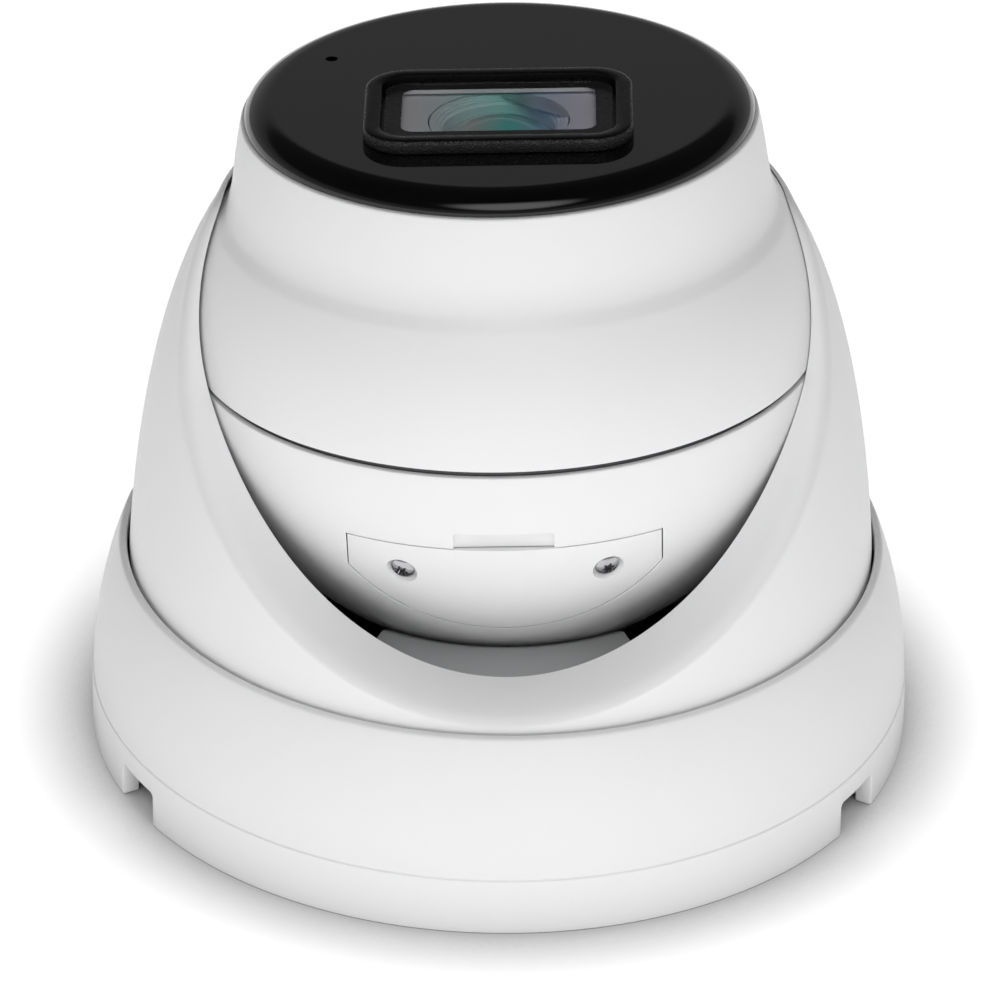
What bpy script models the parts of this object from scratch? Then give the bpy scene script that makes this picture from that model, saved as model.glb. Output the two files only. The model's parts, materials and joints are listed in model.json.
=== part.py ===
"""Turret security camera: a ball with the lens, held in a hooded cover that turns on a round base.

The object stands on its mounting face, at z = 0, with the lens looking up.  The low side of the
cover's opening is the front, towards -Y.  Bodies: the base, the turning cover with its socket, the
hub that tilts with the ball, the ball that rolls about the lens axis on the hub, and a reset button.
"""
import math

import bmesh
import bpy
from mathutils import Euler, Matrix, Vector

MM = 0.001                    # the sizes below are millimetres
GAP = 0.3                     # clearance left between neighbouring pieces
SEGMENTS = 48                 # facets round the large turned pieces
SMALL_SEGMENTS = 16

# Driving dimensions
BASE_RADIUS = 61.0
BASE_ARC_RADIUS = 65.0        # the base's side is an arc in section
BASE_ARC_HEIGHT = 7.0
BAND_HEIGHT = 8.9             # fine step between the base's lower band and its arc
BASE_TOP = 30.6
SEAM_RADIUS = 55.4            # inner edge of the trim ring, round the cover
PLATE_THICKNESS = 3.0
NOTCH_WIDTH, NOTCH_HEIGHT = 9.4, 5.5
NOTCH_ANGLES = (-60.0, 60.0, 180.0)
WALL_SCREW_CIRCLE = 42.5
PAD_HALF_ANGLE = 31.0
CABLE_HOLE_RADIUS = 14.0

COVER_SKIRT_RADIUS, SKIRT_TOP = 54.9, 29.4
COVER_TURN = 1.0              # degrees that the cover stands away from the front
COVER_WALL = 2.8
DOME_RADIUS = 55.37           # the cover's outside is a superellipse in section
DOME_START, DOME_HEIGHT = 18.8, 77.2
DOME_HEIGHT_POWER, DOME_RADIUS_POWER = 1.786, 4.62
HOOD_RADIUS = 46.0            # inner sphere of the hood, about the ball's centre
# The opening's edges lie in slanted planes: height at the axis, slope, height where it levels off
EDGE_PLANE = (83.4, 1.075, 84.6)     # inner edge of the rolled lip
SIDE_PLANE = (78.8, 0.87, 82.6)      # where the rolled lip meets the cover's outside
LIP_BULGE = 0.25                     # how far in the rolled lip's control point lies
NOSE_DEPTH, WALL_END_DEPTH = 1.8, 4.6    # below the inner edge: end of the lip, and of the plain wall
WALL_START = 27.4                        # foot of the plain wall, above the clamping flange

BALL_CENTRE = (0.15, 0.0, 63.3)
BALL_RADIUS = 45.5
SHELL_INNER = 41.8
BALL_LEAN = (-3.75, -1.94)    # degrees that the lens axis leans, about X and about Y

SEAM_LOW, SEAM_HIGH = -0.1, 0.85     # groove between the two shells, along the lens axis
NECK_TOP = 35.7
PANEL_RADIUS = 36.6
PANEL_TOP, PANEL_FOOT = 38.7, 36.0
PANEL_ROUND = 4.0             # how far in the panel's elliptical edge reaches
WINDOW_Y = -8.35              # the window sits in front of the ball's own axis
LENS_Y = -8.1
BEZEL_SIZE = (38.2, 26.2)
BEZEL_TOP = 40.7
BEZEL_CORNER = 6.0
GLASS_SIZE = (33.2, 21.2)
GLASS_CORNER = 4.2
LENS_TOP = 37.9               # front rim of the lens barrel
PIN_HOLE = (-24.4, 13.4)

HATCH_HALF_WIDTH = 22.4
HATCH_TOP = -12.0
HATCH_SIDE_END = -18.2
HATCH_BOTTOM = -29.1
HATCH_SCREW_AZIMUTH = 20.2
HATCH_SCREW_HEIGHT = -17.35
TAB_HALF_WIDTH = 7.1
TAB_TOP = -9.3

SHELL_SCREW_AZIMUTHS = (75.0, 180.0, 285.0)
SHELL_SCREW_CIRCLE = 35.5

for old in list(bpy.data.objects):
    bpy.data.objects.remove(old, do_unlink=True)

parts = bpy.data.collections.new("security_camera")
cutters = bpy.data.collections.new("cutters")
bpy.context.scene.collection.children.link(parts)
bpy.context.scene.collection.children.link(cutters)


# ---------------------------------------------------------------- materials

def material(name, colour, roughness, metallic=0.0, alpha=1.0):
    found = bpy.data.materials.get(name)
    if found:
        return found
    made = bpy.data.materials.new(name)
    made.use_nodes = True
    shader = made.node_tree.nodes["Principled BSDF"]
    shader.inputs["Base Color"].default_value = (*colour, 1.0)
    shader.inputs["Roughness"].default_value = roughness
    shader.inputs["Metallic"].default_value = metallic
    shader.inputs["Alpha"].default_value = alpha
    return made


WHITE = material("white_paint", (0.86, 0.86, 0.86), 0.42)
PLATE_METAL = material("plate_metal", (0.70, 0.71, 0.72), 0.5, 0.3)
BLACK_GLOSS = material("black_gloss", (0.012, 0.012, 0.014), 0.08)
BLACK_PLASTIC = material("black_plastic", (0.02, 0.02, 0.022), 0.5)
GREY_PLASTIC = material("grey_plastic", (0.20, 0.20, 0.21), 0.55)
NYLON = material("nylon", (0.80, 0.79, 0.74), 0.5)
RUBBER = material("rubber", (0.03, 0.03, 0.03), 0.8)
STEEL = material("steel", (0.66, 0.66, 0.67), 0.28, 1.0)
ALUMINIUM = material("aluminium", (0.77, 0.78, 0.79), 0.38, 1.0)
BOARD = material("circuit_board", (0.02, 0.16, 0.07), 0.45)
GLASS = material("glass", (0.75, 0.82, 0.84), 0.03, 0.0, 0.35)
EMITTER = material("emitter", (0.80, 0.80, 0.78), 0.15)


# ---------------------------------------------------------------- helpers

def place(obj, finish=None, parent=None, collection=parts):
    """Link an object, give it its material and hang it on its parent."""
    collection.objects.link(obj)
    if finish:
        obj.data.materials.append(finish)
    obj.parent = parent
    if collection == cutters:
        obj.hide_render = True
        obj.display_type = "WIRE"
    return obj


def pivot(name, location, rotation=(0, 0, 0), parent=None):
    empty = bpy.data.objects.new(name, None)
    empty.location = Vector(location) * MM
    empty.rotation_euler = Euler([math.radians(a) for a in rotation])
    empty.parent = parent
    parts.objects.link(empty)
    return empty


def turned(name, profile, finish=None, parent=None, segments=SEGMENTS, collection=parts, closed=True):
    """A turned piece: profile is (radius, z) down the outer side, and back up the bore if closed."""
    mesh = bpy.data.meshes.new(name)
    points = [(r * MM, 0.0, z * MM) for r, z in profile]
    edges = [(i, i + 1) for i in range(len(points) - 1)]
    if closed:
        edges.append((len(points) - 1, 0))
    mesh.from_pydata(points, edges, [])
    obj = place(bpy.data.objects.new(name, mesh), finish, parent, collection)
    screw = obj.modifiers.new("turn", "SCREW")
    screw.axis = "Z"
    screw.angle = math.tau
    screw.steps = segments
    screw.render_steps = segments
    screw.use_merge_vertices = True
    screw.merge_threshold = 0.00001
    screw.use_smooth_shade = True
    return obj


def disc(name, radius, low, high, finish=None, parent=None, segments=SMALL_SEGMENTS, collection=parts):
    """A plain cylinder between two heights."""
    mesh = bpy.data.meshes.new(name)
    bm = bmesh.new()
    bmesh.ops.create_cone(bm, cap_ends=True, segments=segments, radius1=radius * MM,
                          radius2=radius * MM, depth=(high - low) * MM,
                          matrix=Matrix.Translation((0, 0, (high + low) / 2 * MM)))
    bm.to_mesh(mesh)
    bm.free()
    return place(bpy.data.objects.new(name, mesh), finish, parent, collection)


def box(name, size, centre, finish=None, parent=None, collection=parts):
    mesh = bpy.data.meshes.new(name)
    bm = bmesh.new()
    bmesh.ops.create_cube(bm, size=1.0)
    bmesh.ops.scale(bm, vec=Vector(size) * MM, verts=bm.verts)
    bmesh.ops.translate(bm, vec=Vector(centre) * MM, verts=bm.verts)
    bm.to_mesh(mesh)
    bm.free()
    return place(bpy.data.objects.new(name, mesh), finish, parent, collection)


def slab(name, outlines, low, high, finish=None, parent=None, collection=parts):
    """A flat piece between two heights; the first outline is its edge, the others are its holes."""
    curve = bpy.data.curves.new(name, "CURVE")
    curve.dimensions = "2D"
    curve.fill_mode = "BOTH"
    curve.extrude = (high - low) / 2 * MM
    for outline in outlines:
        spline = curve.splines.new("POLY")
        spline.points.add(len(outline) - 1)
        for point, (x, y) in zip(spline.points, outline):
            point.co = (x * MM, y * MM, 0.0, 1.0)
        spline.use_cyclic_u = True
    source = bpy.data.objects.new(name + "_outline", curve)
    parts.objects.link(source)
    bpy.context.view_layer.update()
    evaluated = source.evaluated_get(bpy.context.evaluated_depsgraph_get())
    mesh = bpy.data.meshes.new_from_object(evaluated)
    mesh.transform(Matrix.Translation((0, 0, (low + high) / 2 * MM)))
    bm = bmesh.new()
    bm.from_mesh(mesh)
    bmesh.ops.remove_doubles(bm, verts=bm.verts, dist=0.00001)
    bmesh.ops.recalc_face_normals(bm, faces=bm.faces)
    bm.to_mesh(mesh)
    bm.free()
    bpy.data.objects.remove(source, do_unlink=True)
    mesh.name = name
    mesh.materials.clear()
    return place(bpy.data.objects.new(name, mesh), finish, parent, collection)


def boolean(obj, cutter, operation="DIFFERENCE"):
    modifier = obj.modifiers.new(operation.lower(), "BOOLEAN")
    modifier.operation = operation
    modifier.solver = "EXACT"
    modifier.object = cutter


def rounded_rectangle(size, corner, centre=(0.0, 0.0), steps=4):
    """Outline of a rectangle with round corners, anticlockwise."""
    half_x, half_y = size[0] / 2 - corner, size[1] / 2 - corner
    points = []
    for quarter, (sx, sy) in enumerate(((1, 1), (-1, 1), (-1, -1), (1, -1))):
        for step in range(steps + 1):
            angle = math.radians(90.0) * (quarter + step / steps)
            points.append((centre[0] + sx * half_x + corner * math.cos(angle),
                           centre[1] + sy * half_y + corner * math.sin(angle)))
    return points


def circle(radius, centre=(0.0, 0.0), count=SMALL_SEGMENTS):
    return [(centre[0] + radius * math.cos(math.tau * i / count),
             centre[1] + radius * math.sin(math.tau * i / count)) for i in range(count)]


def sphere_radius(height, radius=BALL_RADIUS):
    """Radius of the sphere's circle at a height from its centre."""
    return math.sqrt(max(radius ** 2 - height ** 2, 0.0))


def sphere_arc(start, end, count, radius=BALL_RADIUS):
    """Profile points along the sphere, evenly spaced in angle, between two heights."""
    first, last = math.asin(start / radius), math.asin(end / radius)
    angles = [first + (last - first) * i / count for i in range(count + 1)]
    return [(radius * math.cos(a), radius * math.sin(a)) for a in angles]


def radial(azimuth, height, radius=BALL_RADIUS):
    """Rotation that turns +Z to the ball's outward direction at an azimuth from the front."""
    angle = math.radians(azimuth)
    rho = sphere_radius(height, radius)
    direction = Vector((rho * math.sin(angle), -rho * math.cos(angle), height))
    return direction.to_track_quat("Z", "Y").to_euler()


# ---------------------------------------------------------------- base: fixed to the wall or ceiling

def base_radius(z):
    """Outer radius of the trim ring above its lower band."""
    rise = z - BASE_ARC_HEIGHT
    return BASE_RADIUS - 0.25 - (BASE_ARC_RADIUS - math.sqrt(BASE_ARC_RADIUS ** 2 - rise ** 2))


def make_base():
    arc = [(base_radius(z), z) for z in (28.8, 25.0, 21.0, 16.0, BAND_HEIGHT + 0.3)]
    ring = turned("trim_ring", [(55.8, BASE_TOP), (56.5, 30.1), *arc, (BASE_RADIUS - 0.05, BAND_HEIGHT),
                                (BASE_RADIUS, 0.0), (58.4, 0.0), (58.2, 12.0), (57.2, 19.0),
                                (55.9, 24.5), (SEAM_RADIUS, 27.5), (SEAM_RADIUS, 30.3)], WHITE)
    plate = turned("mounting_plate", [(57.9, PLATE_THICKNESS), (57.9, 0.0), (54.5, 0.0), (54.5, 1.3),
                                      (50.5, 1.3), (50.5, 0.0), (CABLE_HOLE_RADIUS, 0.0),
                                      (CABLE_HOLE_RADIUS, 7.5), (16.5, 7.5), (16.5, PLATE_THICKNESS),
                                      (26.5, PLATE_THICKNESS), (26.5, 9.0), (29.0, 9.0),
                                      (29.0, PLATE_THICKNESS)], PLATE_METAL, segments=36)
    for index, angle in enumerate(NOTCH_ANGLES):
        notch = box(f"notch_cutter_{index}", (NOTCH_WIDTH, 8.0, 2 * NOTCH_HEIGHT), (0, -BASE_RADIUS, 0),
                    collection=cutters)
        notch.rotation_euler.z = math.radians(angle)
        boolean(ring, notch)
        relief = box(f"relief_cutter_{index}", (NOTCH_WIDTH + 3, 5.0, 10.0), (0, -59.4, 2.0),
                     collection=cutters)
        relief.rotation_euler.z = math.radians(angle)
        boolean(plate, relief)
        hole_angle = math.radians(angle + 60.0)
        hole = disc(f"wall_hole_cutter_{index}", 2.4, -2.0, 5.0, collection=cutters)
        hole.location = Vector((math.sin(hole_angle), -math.cos(hole_angle), 0)) * WALL_SCREW_CIRCLE * MM
        boolean(plate, hole)
        hook = box(f"ring_hook_{index + 1}", (3.4, 1.8, 7.2), (0, -56.0, 6.9), NYLON)
        hook.rotation_euler.z = math.radians(angle)
    turned("wall_gasket", [(54.2, 1.0), (54.2, 0.0), (50.8, 0.0), (50.8, 1.0)], RUBBER)
    turned("swivel_bearing", [(33.1, 8.8), (33.1, 3.3), (29.3, 3.3), (29.3, 8.8)], NYLON)
    turned("cable_grommet", [(16.0, 9.6), (16.0, 7.8), (13.7, 7.8), (13.7, 0.4), (10.5, 0.4),
                             (10.5, 9.6)], RUBBER, segments=24)


# ---------------------------------------------------------------- cover: turns on the base

def outer_radius(z):
    """Outer radius of the dome cover: a superellipse in section, plain below the seam."""
    if z < SKIRT_TOP:
        return COVER_SKIRT_RADIUS
    fraction = (z - DOME_START) / DOME_HEIGHT
    return DOME_RADIUS * (1 - fraction ** DOME_HEIGHT_POWER) ** (1 / DOME_RADIUS_POWER)


def hood_radius(z):
    """Inner radius of the hood: a sphere about the ball's centre, and a cylinder under it."""
    rise = z - BALL_CENTRE[2]
    return sphere_radius(rise, HOOD_RADIUS) if rise > 0 else HOOD_RADIUS


def soft_minimum(a, b, softness=1.2):
    return -softness * math.log(math.exp(-a / softness) + math.exp(-b / softness))


def lip_point(azimuth, plane, radius_at):
    """Where a slanted plane, levelling off at a ceiling, meets the cover's wall at an azimuth."""
    intercept, slope, ceiling = plane
    z = BALL_CENTRE[2]
    for _ in range(40):
        y = -radius_at(z) * math.cos(azimuth)
        z = 0.5 * z + 0.5 * soft_minimum(intercept + slope * y, ceiling)
    return radius_at(z), z


def cover_section(azimuth):
    """One closed section of the cover: the lip, down the outside, and back up the inside."""
    edge_r, edge_z = lip_point(azimuth, EDGE_PLANE, hood_radius)
    side_r, side_z = lip_point(azimuth, SIDE_PLANE, outer_radius)
    control = Vector((side_r - LIP_BULGE * (side_r - edge_r), max(edge_z, side_z) + 0.1))
    start, end = Vector((edge_r, edge_z)), Vector((side_r, side_z))
    section = []
    for step in range(4):
        t = step / 3
        point = start * (1 - t) ** 2 + control * 2 * t * (1 - t) + end * t ** 2
        section.append((point.x, point.y))
    for step in range(1, 5):
        z = side_z + (SKIRT_TOP - side_z) * step / 4
        section.append((outer_radius(z), z))
    section += [(COVER_SKIRT_RADIUS, 11.0), (52.5, 11.0), (52.5, 20.0), (48.0, 20.0), (48.0, 22.2),
                (51.9, 22.2)]
    wall_top, nose_z = edge_z - WALL_END_DEPTH, edge_z - NOSE_DEPTH
    for step in range(9):
        z = WALL_START + (wall_top - WALL_START) * math.sin(math.radians(90.0) * step / 8)
        section.append((max(outer_radius(z) - COVER_WALL, hood_radius(z)), z))
    section.append((max(hood_radius(nose_z), edge_r) + 0.05, nose_z))
    return section


def make_cover(turret):
    mesh = bpy.data.meshes.new("dome_cover")
    bm = bmesh.new()
    rows = []
    for index in range(SEGMENTS):
        azimuth = math.tau * index / SEGMENTS
        rows.append([bm.verts.new((r * math.sin(azimuth) * MM, -r * math.cos(azimuth) * MM, z * MM))
                     for r, z in cover_section(azimuth)])
    for index, row in enumerate(rows):
        following = rows[(index + 1) % SEGMENTS]
        for i in range(len(row)):
            j = (i + 1) % len(row)
            bm.faces.new((row[i], row[j], following[j], following[i]))
    bmesh.ops.recalc_face_normals(bm, faces=bm.faces)
    bm.to_mesh(mesh)
    bm.free()
    mesh.shade_smooth()
    place(bpy.data.objects.new("dome_cover", mesh), WHITE, turret)

    deck = turned("socket_ring", [(50.7, 19.7), (50.7, 13.5), (36.3, 13.5), (36.3, 4.2), (33.6, 4.2),
                                  (33.6, 13.5), (23.0, 13.5), (23.0, 19.7), (25.0, 19.7), (25.0, 16.3),
                                  (48.3, 16.3), (48.3, 19.7)], BLACK_PLASTIC, turret, segments=36)
    for index in range(3):
        make_pad(f"friction_pad_{index + 1}", 120.0 * index, turret)
        angle = math.radians(60.0 + 120.0 * index)
        spot = Vector((math.sin(angle), -math.cos(angle), 0)) * 49.5 * MM
        shaft = disc(f"socket_hole_cutter_{index}", 1.3, 10.0, 21.5, parent=turret, collection=cutters,
                     segments=10)
        shaft.location = spot
        boolean(deck, shaft)
        boolean(bpy.data.objects["dome_cover"], shaft)
        screw = turned(f"socket_screw_{index + 1}", [(0.0, 21.2), (1.0, 21.2), (1.0, 13.2), (2.4, 13.2),
                                                     (2.1, 11.8), (0.0, 11.8)], STEEL, turret,
                       segments=10, closed=False)
        screw.location = spot


def make_pad(name, azimuth, turret):
    """A friction pad: a sector of a ring, with a spherical seat for the ball on its inner side."""
    half_angle, steps = math.radians(PAD_HALF_ANGLE), 8
    seat = [(r, BALL_CENTRE[2] - sphere_radius(r, BALL_RADIUS + GAP)) for r in (32.0, 29.5, 27.0)]
    section = [(34.0, 31.2), (46.5, 27.0), (46.5, 16.7), (26.0, 16.7), (26.0, 25.6), *reversed(seat)]
    mesh = bpy.data.meshes.new(name)
    bm = bmesh.new()
    rows = []
    for step in range(steps + 1):
        angle = math.radians(azimuth) - half_angle + 2 * half_angle * step / steps
        rows.append([bm.verts.new((r * math.sin(angle) * MM, -r * math.cos(angle) * MM, z * MM))
                     for r, z in section])
    for row, following in zip(rows, rows[1:]):
        for i in range(len(row)):
            j = (i + 1) % len(row)
            bm.faces.new((row[i], row[j], following[j], following[i]))
    bm.faces.new(rows[0])
    bm.faces.new(rows[-1])
    bmesh.ops.recalc_face_normals(bm, faces=bm.faces)
    bm.to_mesh(mesh)
    bm.free()
    return place(bpy.data.objects.new(name, mesh), GREY_PLASTIC, turret)


# ---------------------------------------------------------------- hub: tilts, and the ball rolls on it

def make_hub(ball):
    cap = sphere_arc(-40.97, -44.8, 3)
    turned("rotation_hub", [(22.6, -32.6), (22.6, -34.1), (19.6, -34.1), (19.6, -40.95), *cap[1:],
                            (cap[-1][0], -36.5), (5.0, -36.5), (5.0, -32.6)], BLACK_PLASTIC, ball,
           segments=28)
    turned("cable_gland", [(4.7, -32.0), (4.7, -36.8), (7.5, -36.8), (7.5, -42.3), (5.6, -43.4),
                           (2.9, -43.4), (2.9, -32.0)], RUBBER, ball, segments=20)
    turned("wave_washer", [(22.4, -31.5), (22.4, -32.3), (18.0, -32.3), (18.0, -31.5)], STEEL, ball,
           segments=28)


# ---------------------------------------------------------------- ball: shells, panel and hatch

def neck_profile():
    """Outer side of the front shell, from the panel down to the groove."""
    neck = [(37.1, NECK_TOP), (37.65, 32.8), (38.15, 29.5), (38.6, 25.8), (39.05, 23.6)]
    return neck + sphere_arc(21.6, SEAM_HIGH, 5)


def make_shells(ball):
    inner = sphere_arc(2.1, 22.3, 4, SHELL_INNER)
    front = turned("front_shell", [*neck_profile(), (44.5, SEAM_HIGH), (44.5, 2.1), *inner,
                                   (35.3, 24.5), (35.3, NECK_TOP)], WHITE, ball)
    outer = sphere_arc(SEAM_LOW, -40.85, 9)
    inner = sphere_arc(-36.6, -1.3, 6, SHELL_INNER)
    rear = turned("rear_shell", [*outer, (outer[-1][0], -37.5), *inner, (44.5, -1.3),
                                 (44.5, SEAM_LOW)], WHITE, ball)
    turned("shell_seal", [(44.2, 1.8), (44.2, -1.0), (42.1, -1.0), (42.1, 1.8)], RUBBER, ball)

    for index, azimuth in enumerate(SHELL_SCREW_AZIMUTHS):
        angle = math.radians(azimuth)
        spot = Vector((math.sin(angle), -math.cos(angle), 0)) * SHELL_SCREW_CIRCLE * MM
        boss = disc(f"front_boss_{index}", 3.2, 3.0, 24.0, parent=ball, collection=cutters, segments=12)
        lug = disc(f"rear_lug_{index}", 4.6, -19.3, -2.0, parent=ball, collection=cutters, segments=12)
        thread = disc(f"thread_cutter_{index}", 1.5, -30.0, 14.0, parent=ball, collection=cutters,
                      segments=10)
        counterbore = disc(f"counterbore_cutter_{index}", 3.1, -40.0, -14.0, parent=ball,
                           collection=cutters, segments=12)
        for tool in (boss, lug, thread, counterbore):
            tool.location = spot
        boolean(front, boss, "UNION")
        boolean(front, thread)
        boolean(rear, lug, "UNION")
        boolean(rear, counterbore)
        boolean(rear, thread)
        screw = turned(f"shell_screw_{index + 1}", [(0.0, 12.0), (1.2, 12.0), (1.2, -14.3), (2.7, -14.3),
                                                    (2.5, -16.6), (0.0, -16.6)], STEEL, ball,
                       segments=10, closed=False)
        screw.location = spot
    return rear


def hatch_outline(grow):
    """The hatch seen from the front, as (x, h): flat top, straight sides and a round bottom."""
    half, top = HATCH_HALF_WIDTH + grow, HATCH_TOP + grow
    side_end, bottom = HATCH_SIDE_END - grow * 0.3, HATCH_BOTTOM - grow
    sagitta = side_end - bottom
    arc_radius = (half ** 2 + sagitta ** 2) / (2 * sagitta)
    sweep = math.asin(half / arc_radius)
    points = [(half, top), (-half, top)]
    for step in range(13):
        angle = -sweep + 2 * sweep * step / 12
        points.append((arc_radius * math.sin(angle), bottom + arc_radius - arc_radius * math.cos(angle)))
    return points


def front_prism(name, outlines, ball, near=-52.0, far=-20.0):
    """A cutter that runs along the ball's Y axis, on its front side."""
    prism = slab(name, outlines, -far, -near, parent=ball, collection=cutters)
    prism.rotation_euler.x = math.radians(90.0)
    return prism


def make_hatch(ball, rear):
    pocket = front_prism("hatch_pocket_cutter", [hatch_outline(0.0)], ball)
    core = turned("pocket_core", [(0.0, 43.0), *sphere_arc(42.5, -42.5, 10, 42.8), (0.0, -43.0)],
                  parent=ball, collection=cutters, closed=False)
    boolean(pocket, core)
    boolean(rear, pocket)
    window = [(10.0, -14.5), (-10.0, -14.5), (-10.0, -24.0), (10.0, -24.0)]
    boolean(rear, front_prism("hatch_window_cutter", [window], ball))
    tab_width, tab_height = 2 * TAB_HALF_WIDTH, TAB_TOP - HATCH_TOP + 1.0
    tab = box("tab_cutter", (tab_width, 6.0, tab_height), (0, -46.9, TAB_TOP - tab_height / 2),
              parent=ball, collection=cutters)
    boolean(rear, tab)

    def hatch_layer(name, outer, inner, outlines, finish):
        band = sphere_arc(-7.0, -34.0, 6, outer) + sphere_arc(-34.0, -7.0, 6, inner)
        layer = turned(name, band, finish, ball)
        boolean(layer, front_prism(name + "_outline_cutter", outlines, ball), "INTERSECT")
        return layer

    cover = hatch_layer("hatch_cover", BALL_RADIUS, 43.9, [hatch_outline(-0.25)], WHITE)
    opening = [(11.5, -13.9), (-11.5, -13.9), (-11.5, -25.0), (11.5, -25.0)]
    gasket = hatch_layer("hatch_gasket", 43.6, 43.1, [hatch_outline(-0.6), opening], RUBBER)
    for side, label in ((-1, "left"), (1, "right")):
        turn = radial(side * HATCH_SCREW_AZIMUTH, HATCH_SCREW_HEIGHT)
        recess = disc(f"screw_recess_{label}", 2.45, 44.75, 47.0, parent=ball, collection=cutters)
        shaft = disc(f"screw_shaft_{label}", 1.3, 41.0, 46.0, parent=ball, collection=cutters, segments=10)
        for tool in (recess, shaft):
            tool.rotation_euler = turn
        boolean(cover, recess)
        for piece in (cover, gasket, rear):
            boolean(piece, shaft)
        screw = turned(f"hatch_screw_{label}", [(0.0, 45.7), (1.3, 45.6), (1.82, 45.35), (1.82, 45.05),
                                                (1.0, 45.05), (1.0, 38.5), (0.0, 38.5)], STEEL, ball,
                       segments=12, closed=False)
        screw.rotation_euler = turn


def make_panel(ball):
    turns = [math.radians(18.0 * step) for step in range(6)]
    edge = [(PANEL_RADIUS - PANEL_ROUND * (1 - math.sin(turn)),
             PANEL_FOOT + (PANEL_TOP - PANEL_FOOT) * math.cos(turn)) for turn in turns]
    panel = turned("front_panel", [(0.0, PANEL_TOP), *edge, (33.4, PANEL_FOOT), (33.4, 33.9),
                                   (31.6, 33.9), (31.6, PANEL_FOOT), (0.0, PANEL_FOOT)],
                   BLACK_GLOSS, ball, closed=False)
    window = rounded_rectangle((36.4, 24.4), BEZEL_CORNER - 0.9, (0, WINDOW_Y))
    boolean(panel, slab("window_cutter", [window], 34.0, 40.0, parent=ball, collection=cutters))
    pin = disc("pin_cutter", 0.9, 34.0, 40.0, parent=ball, collection=cutters, segments=10)
    pin.location = Vector((*PIN_HOLE, 0.0)) * MM
    boolean(panel, pin)
    turned("panel_gasket", [(35.0, 35.7), (35.0, 34.1), (33.7, 34.1), (33.7, 35.7)], RUBBER, ball)

    step = rounded_rectangle(BEZEL_SIZE, BEZEL_CORNER, (0, WINDOW_Y))
    rim = rounded_rectangle(GLASS_SIZE, GLASS_CORNER, (0, WINDOW_Y))
    sight = rounded_rectangle((29.6, 18.2), 2.6, (0, WINDOW_Y))
    foot = rounded_rectangle((35.8, 23.8), BEZEL_CORNER - 1.2, (0, WINDOW_Y))
    well = rounded_rectangle((32.8, 21.0), BEZEL_CORNER - 2.4, (0, WINDOW_Y))
    bezel = slab("window_bezel", [step, rim], PANEL_TOP + GAP, BEZEL_TOP, BLACK_PLASTIC, ball)
    neck = slab("bezel_neck", [foot, well], 35.5, 38.6, parent=ball, collection=cutters)
    ledge = slab("bezel_ledge", [foot, sight], 38.3, 39.1, parent=ball, collection=cutters)
    boolean(bezel, neck, "UNION")
    boolean(bezel, ledge, "UNION")
    glass = rounded_rectangle((GLASS_SIZE[0] - 2 * GAP, GLASS_SIZE[1] - 2 * GAP), GLASS_CORNER - GAP,
                              (0, WINDOW_Y))
    slab("window_glass", [glass], 39.4, 40.0, GLASS, ball)


# ---------------------------------------------------------------- ball: what it holds

def make_optics(optics):
    """Pieces on the lens axis of the window, in front of the ball's own axis."""
    turned("lens_barrel", [(9.9, LENS_TOP), (9.9, 28.4), (8.2, 28.4), (8.2, 17.6), (5.3, 17.6),
                           (5.3, 28.0), (8.0, 31.4), (8.0, LENS_TOP)], BLACK_PLASTIC, optics, segments=24)
    dome_radius = 12.4
    dome = [(r, h + LENS_TOP + 0.2 - dome_radius) for r, h in sphere_arc(dome_radius, 9.6, 4, dome_radius)]
    turned("lens_element_front", [*dome, (7.7, 33.6), (6.0, 32.2), (0.0, 32.2)], GLASS, optics,
           segments=24, closed=False)
    turned("lens_element_rear", [(0.0, 23.4), (3.0, 23.0), (5.0, 21.8), (5.0, 20.0), (0.0, 20.0)], GLASS,
           optics, segments=16, closed=False)
    turned("lens_holder", [(10.6, 25.9), (10.6, 16.4), (13.0, 16.4), (13.0, 13.9), (8.5, 13.9),
                           (8.5, 25.9)], BLACK_PLASTIC, optics, segments=24)
    box("image_sensor", (10.6, 8.8, 1.2), (0, 0, 14.5), BLACK_GLOSS, optics)
    slab("sensor_board", [rounded_rectangle((32.0, 28.0), 1.5, steps=2)], 12.0, 13.6, BOARD, optics)


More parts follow.
